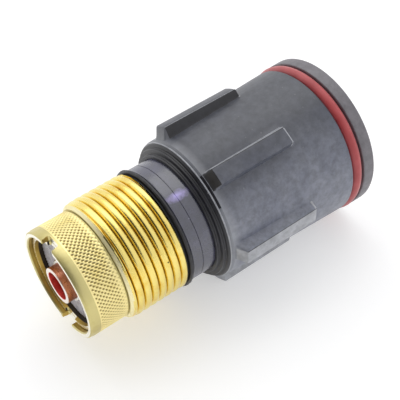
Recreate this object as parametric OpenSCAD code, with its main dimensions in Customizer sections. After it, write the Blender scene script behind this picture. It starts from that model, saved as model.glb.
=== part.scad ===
// Straight water-cooled TIG torch head with a screwed-in gas lens and no cup or electrode fitted.
// The torch lies along +X with its nose at x = 0. Radii are measured from the X axis and grow
// from the electrode outwards by walls and clearances.

/* [Electrode and collet] */
// Diameter of the tungsten electrode that the torch takes
electrode_d = 6.4; // [5:0.1:7]
// Radial play of the electrode in the nose tube
electrode_play = 0.3; // [0.1:0.05:0.4]
// Wall of the copper tube that comes out at the nose
tube_wall = 1.03; // [0.8:0.01:1.4]
// Wall of the slotted collet
collet_wall = 1.05; // [0.8:0.05:1.3]
// Length of the collet
collet_l = 48; // [42:1:53]
// Length of the saw slots in the collet nose
collet_slot_l = 24; // [12:1:32]
// Width of one saw slot
collet_slot_w = 0.5; // [0.3:0.1:0.8]
// Number of saw slots
collet_slots = 4; // [3:1:6]
// Length of the back cap's bore in the core in front of the end of the collet
cap_way_l = 7; // [4:0.5:10]

/* [Gas lens] */
// Diameter of the woven screens
screen_d = 21.68; // [20:0.02:24]
// Wall of the lens ring round the screens
ring_wall = 1.13; // [0.9:0.01:1.5]
// Wall of the knurled collar round the lens ring
collar_wall = 1.63; // [1.2:0.01:2.5]
// Depth of the relief behind the knurling
collar_relief = 0.25; // [0.1:0.05:0.5]
// Length of that relief
collar_relief_l = 0.4; // [0.2:0.1:1.6]
// Chamfer on the rim of the collar
rim_chamfer = 0.4; // [0.2:0.05:0.6]
// Width of the two spanner slots in the rim
spanner_w = 4.1; // [2:0.1:5]
// Depth of the spanner slots
spanner_depth = 2; // [1:0.1:2.2]
// Turn of the spanner slots about the torch axis
spanner_turn = -2; // [-30:0.5:30]
// Depth of the lens ring behind the rim
ring_depth = 1.2; // [0.6:0.1:2]
// Depth of the front screen behind the rim
screen_depth = 3; // [2.6:0.1:3.4]
// Thickness of one woven screen
screen_t = 0.3; // [0.2:0.05:0.4]
// Thickness of the spacer ring between two screens
spacer_t = 0.6; // [0.4:0.05:0.8]
// Thickness of the spacer ring behind the last screen
last_spacer_t = 0.9; // [0.5:0.1:1.5]
// Radial width of a spacer ring
spacer_w = 0.9; // [0.5:0.1:1.5]
// Length of the ferrule that holds the screens on the tube
ferrule_l = 0.7; // [0.4:0.1:1]
// Wall of the ferrule
ferrule_wall = 0.7; // [0.4:0.05:1]
// Length of the web behind the screens
web_l = 3.2; // [2.5:0.1:5]
// Number of gas holes in the web
gas_holes = 10; // [6:1:12]
// Length of the spigot that enters the barrel
lens_spigot_l = 4; // [3.4:0.1:5]
// Diameter of the thread that holds the lens in the core
lens_thread_d = 14; // [13:0.1:16]
// Length of that thread
lens_thread_l = 9.5; // [7:0.5:11]
// Length of the flange in front of the thread
lens_flange_l = 2.4; // [2:0.1:3]
// Length of the relief in the core behind that thread
lens_relief_l = 2; // [1:0.1:4]

/* [Cup thread barrel] */
// Major diameter of the cup thread
cup_thread_d = 30; // [28:0.1:33]
// Pitch of the cup thread
cup_pitch = 2; // [1.5:0.25:2.5]
// Distance of the first groove of the thread from the mouth of the barrel
thread_start = 0.85; // [0.6:0.05:1.5]
// Chamfer at the mouth of the barrel
barrel_chamfer = 1.1; // [0.6:0.1:1.2]
// Length of the threaded barrel
barrel_l = 15.1; // [13:0.1:20]
// Width of the gas passage between the core and the barrel
gas_gap = 2.3; // [2.1:0.1:2.8]
// Wall of the tail that holds the barrel in the neck
barrel_tail_wall = 1.6; // [1.2:0.1:2]
// Thickness of the insulating washer behind the barrel
washer_t = 0.6; // [0.4:0.1:1]
// How far the washer stays under the neck
washer_under = 0.4; // [0.2:0.1:1]

/* [Neck and grip] */
// Length of the neck in front of the shoulder
neck_l = 7.2; // [6:0.1:10]
// Wall of the neck
neck_wall = 2.25; // [1.8:0.05:2.8]
// Height of the lip at the front of the neck
neck_lip_h = 0.7; // [0.3:0.1:1.2]
// Length of the lip
neck_lip_l = 1.1; // [0.8:0.1:2]
// Length of the stepped shoulder of the grip
shoulder_l = 2.6; // [2:0.1:3.5]
// Distance of the gas bush from the front of the neck
bush_start = 5; // [3:0.1:6]
// Length of the grip behind its shoulder
grip_l = 36.3; // [33:0.1:42]
// Wall of the grip behind its shoulder
grip_front_wall = 1.5; // [1.2:0.1:2]
// Wall of the grip in front of the seal ring
grip_rear_wall = 3; // [2.4:0.1:3.5]
// Number of ridges
ridges = 6; // [4:1:8]
// How far the ridges stand over the rear of the grip
ridge_stand = 1.45; // [0.6:0.05:2]
// Width of a ridge as an angle
ridge_angle = 15.5; // [10:0.5:20]
// Distance of the ridges from the shoulder
ridge_start = 0.7; // [0.3:0.1:2]
// Length of a ridge
ridge_l = 22.6; // [16:0.1:26]
// Length of the bevel at the front of a ridge
ridge_bevel = 1.4; // [0.8:0.1:4]

/* [Seal ring and end flange] */
// Section of the red seal ring
ring_section = 3; // [2.6:0.1:3.4]
// How far the end flange stands over the grip
flange_stand = 0.4; // [0.2:0.1:1]
// Thickness of the end flange behind the seal ring
flange_l = 3.3; // [3:0.1:5]

/* [Water-cooled core] */
// Wall of the core round the lens thread
core_nose_wall = 0.95; // [0.7:0.05:1.3]
// How far the core stands over its nose
core_step = 0.6; // [0.4:0.1:1]
// Wall of the core round the back cap
core_tail_wall = 1.85; // [1.5:0.05:2]
// Thickness of the flange that closes the front of the water chamber
core_flange_l = 3; // [2.6:0.1:4]
// Distance of the water chamber from the shoulder
chamber_start = 2.5; // [2:0.1:3.5]
// Wall of the water jacket
jacket_wall = 2.75; // [2:0.05:3]
// Length of the manifold block
manifold_l = 10; // [9:0.1:12]
// Length of the manifold spigot in the jacket
spigot_l = 3; // [2.6:0.1:4]
// Distance of the step of the core from the manifold spigot
core_step_lead = 2; // [1:0.1:4]
// Section of the small rubber seals
seal_section = 1.2; // [1:0.05:1.3]
// Outside diameter of the water tube
water_tube_d = 2.8; // [2.4:0.1:2.9]
// Bore of the water tube
water_bore_d = 2.1; // [1.6:0.1:2.2]
// Outside diameter of the gas tube
gas_tube_d = 2.4; // [2:0.1:2.6]
// Bore of the gas tube
gas_bore_d = 1.7; // [1.2:0.1:1.7]
// How deep the gas tube stands in the gas bush
gas_tube_seat = 1.2; // [0.8:0.1:2]

/* [Sockets, screws and back cap] */
// Bore of the three sockets in the rear face
socket_bore_d = 5; // [4:0.1:5.4]
// Section of the rubber ring in a socket
socket_seal_section = 0.8; // [0.6:0.05:0.9]
// Wall of a socket behind the groove of its ring
socket_wall = 0.45; // [0.3:0.05:0.8]
// Wall between a socket and the back of the core
socket_web = 0.95; // [0.8:0.05:1.5]
// Wall between a socket and the outside of the manifold
socket_rim = 0.5; // [0.3:0.05:1]
// Length of a socket insert in the manifold
socket_seat_l = 6; // [5:0.5:7]
// Depth of the rubber ring of a socket under the rear face
socket_seal_depth = 2.1; // [1.8:0.1:3]
// Thread diameter of the flange screws
screw_d = 3; // [2.5:0.1:3.5]
// Head diameter of the flange screws
screw_head_d = 5.5; // [5:0.1:6.2]
// Head height of the flange screws
screw_head_l = 1.8; // [1.4:0.1:2.1]
// Length of a flange screw under its head
screw_l = 9; // [7:0.5:11]
// Wall between a screw head and the seal ring's groove
screw_rim = 0.75; // [0.5:0.05:1.5]
// Diameter of the dowel that lines the flange up
dowel_d = 2.5; // [2:0.1:3]
// Length of the dowel
dowel_l = 7; // [5:0.5:8]
// How far the thread of the back cap stands over the collet
cap_thread_stand = 1.2; // [0.9:0.05:1.4]
// How far the head of the back cap stands over its thread
cap_head_stand = 2; // [1.6:0.1:2.2]
// Width of the coin slot in the back cap
coin_slot_w = 1.8; // [1.2:0.1:2.4]
// Depth of the coin slot
coin_slot_depth = 1.6; // [1:0.1:2]
// How deep the cap, sockets and screws lie under the rear face
rear_sink = 0.2; // [0.1:0.05:0.4]

/* [Clearances] */
// Radial play of a running or threaded fit
run = 0.05; // [0.03:0.01:0.08]
// Radial play between pieces that only pass each other
pass = 0.3; // [0.25:0.05:0.35]
// Gap between two faces that seat on each other
seat = 0.05; // [0.02:0.01:0.1]
// Radial play between a rubber ring and the bore that it runs in
seal_play = 0.02; // [0.01:0.01:0.05]

/* [Hidden] */
$fn = 96;
EPS = 0.01;
BIG = 100;

BRASS = [0.86, 0.76, 0.42];
GOLD = [0.9, 0.72, 0.2];
COPPER = [0.75, 0.4, 0.28];
STEEL = [0.72, 0.73, 0.72];
BLACK = [0.16, 0.17, 0.19];
RED = [0.72, 0.2, 0.2];
WHITE = [0.85, 0.85, 0.82];

// Radii, from the electrode outwards
tube_bore_r = electrode_d / 2 + electrode_play;
tube_r = tube_bore_r + tube_wall;
collet_bore_r = electrode_d / 2 + run;
collet_r = collet_bore_r + collet_wall;
collet_way_r = collet_r + run;
lens_thread_r = lens_thread_d / 2;
lens_flange_r = lens_thread_r + 0.4;
core_nose_r = lens_thread_r + run + core_nose_wall;
core_r = core_nose_r + core_step;
barrel_bore_r = core_r + gas_gap;
barrel_tail_r = barrel_bore_r + barrel_tail_wall;
neck_bore_r = barrel_tail_r + seat;
neck_r = neck_bore_r + neck_wall;
cup_thread_r = cup_thread_d / 2;
thread_root_r = cup_thread_r - 0.6 * cup_pitch;
spigot_r = barrel_bore_r - pass;

// Radii of the gas lens
screen_r = screen_d / 2;
ring_bore_r = screen_r + run;
ring_r = ring_bore_r + ring_wall;
waist_r = ring_r - ring_wall + EPS;
mouth_r = ring_r + run;
collar_r = mouth_r + collar_wall;

// Radii of the rear half
cap_r = collet_r + cap_thread_stand;
cap_way_r = cap_r + run;
cap_head_r = cap_r + cap_head_stand;
core_tail_r = cap_way_r + core_tail_wall;
socket_bore_r = socket_bore_d / 2;
socket_groove_r = socket_bore_r + socket_seal_section + seat;
socket_r = socket_groove_r + socket_wall;
socket_circle_r = core_tail_r + seat + socket_web + socket_r;
manifold_r = socket_circle_r + socket_r + seat + socket_rim;
grip_bore_r = manifold_r + seat;
jacket_r = grip_bore_r - pass - 0.1;
jacket_bore_r = jacket_r - jacket_wall;
grip_front_r = grip_bore_r + grip_front_wall;
grip_rear_r = grip_bore_r + grip_rear_wall;
ridge_r = grip_rear_r + ridge_stand;
flange_r = grip_rear_r + flange_stand;
groove_r = flange_r - ring_section;
screw_circle_r = groove_r - screw_rim - screw_head_d / 2 - 0.1;
water_circle_r = core_r + pass + water_tube_d / 2;
gas_circle_r = core_r + run + gas_tube_d / 2;

// Places along the axis, from the nose backwards
screen_step = screen_t + spacer_t;
x_web = screen_depth + 4 * screen_t + 3 * spacer_t + last_spacer_t;
x_collar = x_web + web_l;
x_ring_seat = x_web + 1;
x_lens_flange = x_collar + seat;
x_core = x_lens_flange + lens_flange_l + seat;
x_spigot_end = x_collar + lens_spigot_l;
x_lens_end = x_core + lens_thread_l;
x_barrel = x_collar + 2 * seat;
x_washer = x_barrel + barrel_l;
x_neck = x_washer + washer_t;
x_shoulder = x_neck + neck_l;
x_grip = x_shoulder + shoulder_l;
x_jacket = x_grip + chamber_start;
x_tail = x_jacket + core_flange_l;
x_seal_ring = x_grip + grip_l;
x_manifold = x_seal_ring - manifold_l;
x_passage = x_manifold - spigot_l;
x_socket = x_seal_ring - socket_seat_l;
x_flange = x_seal_ring + ring_section;
x_back = x_flange + flange_l;
x_sunk = x_back - rear_sink;
x_socket_seal = x_back - socket_seal_depth;
x_collet = x_core + lens_flange_l;
x_collet_end = x_collet + collet_l;
x_bush = x_neck + bush_start;
x_core_step = x_passage - core_step_lead;
x_cap_way = x_collet_end - cap_way_l;
x_lens_relief = x_lens_end + lens_relief_l;

// Cone that closes the collet: its slope, and how far the collet stands in it
cone_l = 1.4;
cone_gap = 0.1;
cone_lead = 0.25;
cone_slope = (collet_way_r - tube_bore_r) / cone_l;
x_cone = x_collet - cone_lead - cone_gap;

// Directions about the axis, from the lowest point
socket_turns = [210, 330, 90];
screw_turns = [30, 150, 270];
water_in_turn = socket_turns[0];
water_out_turn = socket_turns[1];
gas_turn = socket_turns[2];
dowel_turn = 0;

// Stands what is built along Z on the torch axis
module on_axis(x = 0) {
    translate([x, 0, 0]) rotate([0, 90, 0]) children();
}

// Turned piece: points are [radius, place along the axis]
module turned(points) {
    on_axis() rotate_extrude() polygon(points);
}

// Plain ring from one place to another
module ring(outer, inner, from, to) {
    turned([[inner, from], [outer, from], [outer, to], [inner, to]]);
}

// Round bar or hole along the axis
module bar(r, from, to) {
    on_axis(from) cylinder(r = r, h = to - from);
}

// Bars at a distance from the axis
module off_axis(turns, radius) {
    for (turn = turns) rotate([turn, 0, 0]) translate([0, 0, -radius]) children();
}

// Rubber ring of round section
module seal(outer, section, x) {
    on_axis(x) rotate_extrude() translate([outer - section / 2, 0]) circle(d = section, $fn = 32);
}

// Cut for the two spanner slots across the rim
module spanner_slots() {
    rotate([spanner_turn, 0, 0])
        translate([-EPS, -spanner_w / 2, -BIG / 2]) cube([spanner_depth + EPS, spanner_w, BIG]);
}

// Knurled collar with two spanner slots in its rim
module nose_collar() {
    lip_r = waist_r + 0.1;
    x_relief = x_collar - collar_relief_l;
    color(BRASS) difference() {
        turned([
            [mouth_r + rim_chamfer, 0], [collar_r - rim_chamfer, 0], [collar_r, rim_chamfer],
            [collar_r, x_relief], [collar_r - collar_relief, x_relief],
            [collar_r - collar_relief, x_collar], [lip_r, x_collar], [lip_r, x_ring_seat + seat],
            [mouth_r, x_ring_seat + seat], [mouth_r, rim_chamfer]
        ]);
        spanner_slots();
    }
}

// Brass ring with its drilled web and the spigot that enters the barrel
module lens_ring() {
    hub_r = tube_r + run;
    spigot_bore_r = core_nose_r + 3 * pass;
    land = 0.8;
    groove_to = x_spigot_end - land;
    groove_from = groove_to - seal_section - 0.2;
    groove_bottom_r = barrel_bore_r - seal_play - seal_section - 0.05;
    hole_circle_r = (lens_flange_r + spigot_bore_r) / 2;
    hole_r = (spigot_bore_r - lens_flange_r) / 2 - 0.05;
    color(BRASS) difference() {
        turned([
            [ring_bore_r, ring_depth], [ring_r, ring_depth], [ring_r, x_ring_seat],
            [waist_r, x_ring_seat], [waist_r, x_collar], [spigot_r, x_collar],
            [spigot_r, groove_from], [groove_bottom_r, groove_from],
            [groove_bottom_r, groove_to], [spigot_r, groove_to], [spigot_r, x_spigot_end],
            [spigot_bore_r, x_spigot_end], [spigot_bore_r, x_collar],
            [hub_r, x_collar], [hub_r, x_web], [ring_bore_r, x_web]
        ]);
        off_axis([for (i = [0:gas_holes - 1]) i * 360 / gas_holes], hole_circle_r)
            bar(hole_r, x_web - 1, x_collar + 1);
        spanner_slots();
    }
}

// Copper tube that guides the electrode and screws the lens into the core
module collet_body() {
    color(COPPER) turned([
        [tube_bore_r, 0], [tube_r, 0], [tube_r, x_lens_flange], [lens_flange_r, x_lens_flange],
        [lens_flange_r, x_core - seat], [lens_thread_r, x_core - seat],
        [lens_thread_r, x_lens_end], [collet_way_r, x_lens_end],
        [collet_way_r, x_cone + cone_l], [tube_bore_r, x_cone]
    ]);
}

// Woven screen number i of the lens, counted from the front
module screen(i) {
    x = screen_depth + i * screen_step;
    color(STEEL) ring(screen_r, tube_r + run, x, x + screen_t);
}

// Rings behind each screen, the last one thicker
module screen_spacers() {
    color(BRASS) for (i = [0:3]) {
        x = screen_depth + i * screen_step + screen_t;
        ring(screen_r, screen_r - spacer_w, x, x + (i < 3 ? spacer_t : last_spacer_t));
    }
}

// Small ring pressed on the tube in front of the screens
module tube_ferrule() {
    r = tube_r + run;
    color(STEEL) ring(r + ferrule_wall, r, screen_depth - ferrule_l, screen_depth);
}

// Rubber ring that seals the lens in the barrel
module lens_seal() {
    color(BLACK) seal(barrel_bore_r - seal_play, seal_section, x_spigot_end - 0.9 - seal_section / 2);
}

// Brass barrel with the cup thread, cut as one groove for each turn of the pitch
module threaded_barrel() {
    flat = cup_pitch / 8;
    flank = (cup_pitch - 2 * flat) / 2;
    turns = floor((barrel_l - thread_start) / cup_pitch);
    start = x_barrel + thread_start;
    color(GOLD) difference() {
        turned([
            [barrel_bore_r, x_barrel], [cup_thread_r - barrel_chamfer, x_barrel],
            [cup_thread_r, x_barrel + barrel_chamfer], [cup_thread_r, x_washer],
            [barrel_tail_r, x_washer], [barrel_tail_r, x_grip], [barrel_bore_r, x_grip]
        ]);
        for (i = [0:turns - 1]) {
            x = start + i * cup_pitch;
            turned([
                [cup_thread_r + EPS, x], [thread_root_r, x + flank],
                [thread_root_r, x + flank + flat], [cup_thread_r + EPS, x + 2 * flank + flat]
            ]);
        }
    }
}

// Insulating washer between the barrel and the neck
module insulating_washer() {
    color(BLACK) ring(neck_r - washer_under, neck_bore_r, x_washer, x_neck);
}

// Black moulded sleeve that makes the neck
module neck_sleeve() {
    lip_r = neck_r + neck_lip_h;
    edge = 0.3;
    tail_r = neck_r + 0.8;
    tail_from = x_grip + 0.3;
    color(BLACK) turned([
        [neck_bore_r, x_neck], [lip_r - edge, x_neck], [lip_r, x_neck + edge],
        [lip_r, x_neck + neck_lip_l - edge], [lip_r - edge, x_neck + neck_lip_l],
        [neck_r, x_neck + neck_lip_l], [neck_r, tail_from], [tail_r, tail_from],
        [tail_r, x_jacket], [neck_bore_r, x_jacket]
    ]);
}

// White bush that centres the core in the barrel and lets the gas through
module gas_bush() {
    color(WHITE) difference() {
        turned([
            [core_r + seat, x_bush], [barrel_bore_r - seat, x_bush],
            [barrel_bore_r - seat, x_grip], [barrel_tail_r, x_grip],
            [barrel_tail_r, x_jacket], [core_r + seat, x_jacket]
        ]);
        off_axis([gas_turn], gas_circle_r) bar(gas_bore_d / 2, x_bush - 1, x_jacket + 1);
        off_axis([gas_turn], gas_circle_r)
            bar(gas_tube_d / 2 + EPS, x_jacket - gas_tube_seat, x_jacket + 1);
    }
}

// Copper core: the lens screws in at its front and the back cap at its rear
module torch_core() {
    bevel = 0.6;
    collar_end_r = jacket_bore_r - seat;
    seal_groove_r = collar_end_r - seal_section;
    seal_from = x_jacket + (core_flange_l - seal_section) / 2 - 0.1;
    seal_to = seal_from + seal_section + 0.2;
    thread_way_r = lens_thread_r + run;
    color(COPPER) difference() {
        turned([
            [thread_way_r, x_core], [core_nose_r, x_core], [core_nose_r, x_spigot_end + bevel],
            [core_r, x_spigot_end + 2 * bevel], [core_r, x_jacket],
            [collar_end_r, x_jacket], [collar_end_r, seal_from], [seal_groove_r, seal_from],
            [seal_groove_r, seal_to], [collar_end_r, seal_to], [collar_end_r, x_tail],
            [core_r, x_tail], [core_r, x_core_step], [core_tail_r, x_core_step + bevel],
            [core_tail_r, x_seal_ring], [cap_way_r, x_seal_ring],
            [cap_way_r, x_cap_way], [collet_way_r + run, x_cap_way],
            [collet_way_r + run, x_lens_relief], [thread_way_r, x_lens_relief]
        ]);
        off_axis([gas_turn], gas_circle_r)
            bar(gas_tube_d / 2 + EPS, x_jacket - 1, x_tail + 1);
    }
}

// Brass sleeve round the water chamber
module water_jacket() {
    color(BRASS) ring(jacket_r, jacket_bore_r, x_jacket, x_manifold);
}

// Rubber rings at both ends of the water chamber
module jacket_seals() {
    color(BLACK) for (x = [x_jacket + core_flange_l / 2, x_manifold - spigot_l / 2])
        seal(jacket_bore_r - EPS, seal_section, x);
}

// Rubber ring between the manifold and the core
module core_seal() {
    color(BLACK) seal(core_tail_r + EPS + seal_section, seal_section, x_manifold + 2);
}

// Brass block that leads water and gas from the sockets into the torch
module manifold_block() {
    spigot_outer_r = jacket_bore_r - seat;
    seal_groove_r = spigot_outer_r - seal_section;
    seal_from = x_manifold - spigot_l / 2 - seal_section / 2 - 0.1;
    seal_to = seal_from + seal_section + 0.2;
    core_way_r = core_tail_r + seat;
    core_groove_r = core_way_r + seal_section;
    core_groove_from = x_manifold + 2 - seal_section / 2 - 0.1;
    core_groove_to = core_groove_from + seal_section + 0.2;
    color(BRASS) difference() {
        turned([
            [core_way_r, x_passage], [spigot_outer_r, x_passage], [spigot_outer_r, seal_from],
            [seal_groove_r, seal_from], [seal_groove_r, seal_to], [spigot_outer_r, seal_to],
            [spigot_outer_r, x_manifold], [manifold_r, x_manifold],
            [manifold_r, x_seal_ring], [core_way_r, x_seal_ring],
            [core_way_r, core_groove_to], [core_groove_r, core_groove_to],
            [core_groove_r, core_groove_from], [core_way_r, core_groove_from]
        ]);
        off_axis(socket_turns, socket_circle_r) bar(socket_r + seat, x_socket, x_seal_ring + 1);
        off_axis([water_in_turn], water_circle_r)
            bar(water_tube_d / 2 + EPS, x_passage - 1, x_socket + 1);
        off_axis([water_out_turn], water_circle_r)
            bar(water_bore_d / 2, x_passage - 1, x_socket + 1);
        off_axis([gas_turn], gas_circle_r) bar(gas_tube_d / 2 + EPS, x_passage - 1, x_socket + 1);
        off_axis(screw_turns, screw_circle_r)
            bar(screw_d / 2 + EPS, x_seal_ring - screw_l + 2, x_seal_ring + 1);
        off_axis([dowel_turn], screw_circle_r)
            bar(dowel_d / 2 + EPS, x_seal_ring - dowel_l / 2 - 0.2, x_seal_ring + 1);
    }
}

// Copper tube that takes the cold water to the front of the chamber
module water_tube() {
    color(COPPER) off_axis([water_in_turn], water_circle_r) difference() {
        bar(water_tube_d / 2, x_tail + 1.5, x_socket);
        bar(water_bore_d / 2, x_tail, x_socket + 1);
    }
}

// Copper tube that takes the gas through the water chamber to the front bush
module gas_tube() {
    color(COPPER) off_axis([gas_turn], gas_circle_r) difference() {
        bar(gas_tube_d / 2, x_jacket - gas_tube_seat, x_socket);
        bar(gas_bore_d / 2, x_jacket - gas_tube_seat - 1, x_socket + 1);
    }
}

// One ridge of the grip, with its bevelled front end
module ridge() {
    from = x_grip + ridge_start;
    to = from + ridge_l;
    rooted = grip_front_r - 1;
    end_slope = 0.4;
    on_axis() rotate([0, 0, -ridge_angle / 2]) rotate_extrude(angle = ridge_angle) polygon([
        [rooted, from], [grip_front_r, from], [ridge_r, from + ridge_bevel],
        [ridge_r, to - end_slope], [rooted, to]
    ]);
}

// Black moulded grip with its stepped shoulder and six ridges
module grip_shell() {
    neck_way_r = neck_r + seat;
    rise = grip_front_r - neck_r;
    step = shoulder_l / 3;
    edge = 0.5;
    neck_seat = x_grip + 0.2;
    color(BLACK) union() {
        turned([
            [neck_way_r, x_shoulder], [neck_r + 0.25 * rise, x_shoulder],
            [neck_r + 0.3 * rise, x_shoulder + step], [neck_r + 0.6 * rise, x_shoulder + step],
            [neck_r + 0.65 * rise, x_shoulder + 2 * step],
            [grip_front_r - edge, x_shoulder + 2 * step], [grip_front_r, x_grip],
            [grip_rear_r, x_seal_ring - edge], [grip_rear_r - edge, x_seal_ring],
            [grip_bore_r, x_seal_ring], [grip_bore_r, neck_seat], [neck_way_r, neck_seat]
        ]);
        for (i = [0:ridges - 1]) rotate([(i + 0.5) * 360 / ridges, 0, 0]) ridge();
    }
}

// Red silicone ring in the groove in front of the end flange
module red_seal_ring() {
    color(RED) seal(flange_r, ring_section - EPS, x_seal_ring + ring_section / 2);
}

// Black end flange, screwed to the manifold
module end_flange() {
    edge = 0.4;
    color(BLACK) difference() {
        turned([
            [cap_head_r + pass, x_seal_ring], [groove_r, x_seal_ring], [groove_r, x_flange],
            [flange_r - edge, x_flange], [flange_r, x_flange + edge], [flange_r, x_back - edge],
            [flange_r - edge, x_back], [cap_head_r + pass, x_back]
        ]);
        off_axis(socket_turns, socket_circle_r)
            bar(socket_r + seat, x_seal_ring - 1, x_back + 1);
        off_axis(screw_turns, screw_circle_r)
            bar(screw_d / 2 + 0.1, x_seal_ring - 1, x_back + 1);
        off_axis(screw_turns, screw_circle_r)
            bar(screw_head_d / 2 + 0.1, x_sunk - screw_head_l, x_back + 1);
        off_axis([dowel_turn], screw_circle_r)
            bar(dowel_d / 2 + EPS, x_seal_ring - 1, x_seal_ring + dowel_l / 2 + 0.2);
    }
}

// Brass socket insert for one hose stem, with the groove of its seal
module socket_insert(turn) {
    groove_l = socket_seal_section + 0.2;
    color(BRASS) off_axis([turn], socket_circle_r) difference() {
        bar(socket_r, x_socket, x_sunk);
        bar(socket_bore_r, x_socket - 1, x_back + 1);
        bar(socket_groove_r, x_socket_seal - groove_l / 2, x_socket_seal + groove_l / 2);
    }
}

// Rubber rings in the grooves of the three sockets
module socket_seals() {
    color(BLACK) off_axis(socket_turns, socket_circle_r)
        seal(socket_groove_r - EPS, socket_seal_section, x_socket_seal);
}

// Socket head screws that hold the end flange
module flange_screws() {
    head_from = x_sunk - screw_head_l;
    hex_r = screw_d * 0.48;
    hex_depth = screw_head_l * 0.6;
    color(STEEL) off_axis(screw_turns, screw_circle_r) difference() {
        union() {
            bar(screw_d / 2, head_from - screw_l, head_from + EPS);
            bar(screw_head_d / 2, head_from, head_from + screw_head_l);
        }
        on_axis(head_from + screw_head_l - hex_depth)
            cylinder(r = hex_r, h = hex_depth + 1, $fn = 6);
    }
}

// Steel dowel that lines the end flange up with the manifold
module flange_dowel() {
    color(STEEL) off_axis([dowel_turn], screw_circle_r)
        bar(dowel_d / 2, x_seal_ring - dowel_l / 2, x_seal_ring + dowel_l / 2);
}

// Slotted copper collet that grips the electrode
module collet() {
    tip_r = tube_bore_r + cone_slope * cone_lead;
    taper_l = (collet_r - tip_r) / cone_slope;
    color(COPPER) difference() {
        turned([
            [collet_bore_r, x_collet], [tip_r, x_collet],
            [collet_r, x_collet + taper_l], [collet_r, x_collet_end],
            [collet_bore_r, x_collet_end]
        ]);
        for (i = [0:collet_slots - 1]) rotate([i * 360 / collet_slots, 0, 0])
            translate([x_collet - 1, -collet_slot_w / 2, 0])
                cube([collet_slot_l + 1, collet_slot_w, BIG]);
    }
}

// Rubber ring under the head of the back cap
module cap_seal() {
    color(BLACK) seal(cap_r + run + seal_section, seal_section,
        x_seal_ring + seat + seal_section / 2);
}

// Back cap that pushes the collet forwards, with a coin slot in its head
module back_cap() {
    shank_from = x_collet_end + seat;
    head_from = x_seal_ring + seal_section + 2 * seat;
    hole_end = x_sunk - coin_slot_depth - 1.2;
    edge = 0.5;
    color(GOLD) difference() {
        turned([
            [collet_bore_r, shank_from], [cap_r, shank_from], [cap_r, head_from],
            [cap_head_r, head_from], [cap_head_r, x_sunk - edge], [cap_head_r - edge, x_sunk],
            [0, x_sunk], [0, hole_end], [collet_bore_r, hole_end]
        ]);
        translate([x_sunk - coin_slot_depth, -coin_slot_w / 2, -BIG / 2])
            cube([BIG, coin_slot_w, BIG]);
    }
}

nose_collar();
lens_ring();
collet_body();
screen(0);  // front_screen
screen(1);  // second_screen
screen(2);  // third_screen
screen(3);  // rear_screen
screen_spacers();
tube_ferrule();
lens_seal();
threaded_barrel();
insulating_washer();
neck_sleeve();
gas_bush();
torch_core();
water_jacket();
jacket_seals();
core_seal();
manifold_block();
water_tube();
gas_tube();
grip_shell();
red_seal_ring();
end_flange();
socket_insert(water_in_turn);  // water_in_socket
socket_insert(water_out_turn);  // water_out_socket
socket_insert(gas_turn);  // gas_socket
socket_seals();
flange_screws();
flange_dowel();
collet();
cap_seal();
back_cap();
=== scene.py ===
import math

import bmesh
import bpy
from mathutils import Matrix, Vector, noise


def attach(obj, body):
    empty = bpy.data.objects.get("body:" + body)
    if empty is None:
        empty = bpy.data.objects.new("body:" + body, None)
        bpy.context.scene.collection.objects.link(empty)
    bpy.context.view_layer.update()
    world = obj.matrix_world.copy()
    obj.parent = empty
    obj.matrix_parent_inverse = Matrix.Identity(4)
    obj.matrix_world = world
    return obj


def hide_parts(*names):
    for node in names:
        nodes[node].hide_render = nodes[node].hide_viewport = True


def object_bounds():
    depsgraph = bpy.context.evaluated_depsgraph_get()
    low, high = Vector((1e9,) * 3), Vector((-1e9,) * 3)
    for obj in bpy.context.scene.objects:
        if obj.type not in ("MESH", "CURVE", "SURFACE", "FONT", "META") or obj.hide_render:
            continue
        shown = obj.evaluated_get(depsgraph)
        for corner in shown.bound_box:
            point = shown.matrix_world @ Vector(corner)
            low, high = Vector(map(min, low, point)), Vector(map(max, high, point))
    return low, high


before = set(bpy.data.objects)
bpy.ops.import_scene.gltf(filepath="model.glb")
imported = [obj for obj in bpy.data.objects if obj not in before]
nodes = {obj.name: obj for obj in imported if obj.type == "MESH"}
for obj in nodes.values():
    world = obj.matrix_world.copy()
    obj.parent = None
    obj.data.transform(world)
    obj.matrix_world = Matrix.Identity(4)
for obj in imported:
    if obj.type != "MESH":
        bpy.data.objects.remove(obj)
cad_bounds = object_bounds()


# Camera
# The torch lies on its side and is seen from above its nose, with its axis rising to the
# right. The turn and the distance are the ones at which its circles have their ellipses.

SIGHT_TURN = (
    Matrix.Rotation(math.radians(30.797), 3, "Z")
    @ Matrix.Rotation(math.radians(23.077), 3, "Y")
    @ Matrix.Rotation(math.radians(-38.0), 3, "X")
)
NOSE_IN_SIGHT = Vector((-0.031787, -0.019150, -0.206759))
SIGHT_LENS = 83.73

camera = bpy.data.objects.new("camera", bpy.data.cameras.new("camera"))
camera.data.lens = SIGHT_LENS
camera.data.sensor_width = 36.0
camera.data.clip_start = 0.01
camera.data.clip_end = 20.0
camera.matrix_world = (
    Matrix.Translation(-(SIGHT_TURN.transposed() @ NOSE_IN_SIGHT))
    @ SIGHT_TURN.transposed().to_4x4()
)
bpy.context.scene.collection.objects.link(camera)
bpy.context.scene.camera = camera


# Light tent
# White cloth on all sides, brightest overhead and on the far side and duller low down in
# front, with a dark opening that the torch is looked at through and one soft lamp above.

BRIGHT_SIDE = (-0.10, 0.50, 0.86)
OPENING_SIDE = (-0.80, -0.30, 0.52)
OPENING_SHADE = (0.03, 0.03, 0.035, 1)
OPENING_FROM = 0.66
OPENING_TO = 0.86
CLOTH_SHADES = ((0.0, 0.93), (0.3, 0.96), (0.6, 1.02), (0.9, 1.07))

bpy.context.scene.view_settings.view_transform = "Standard"

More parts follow.
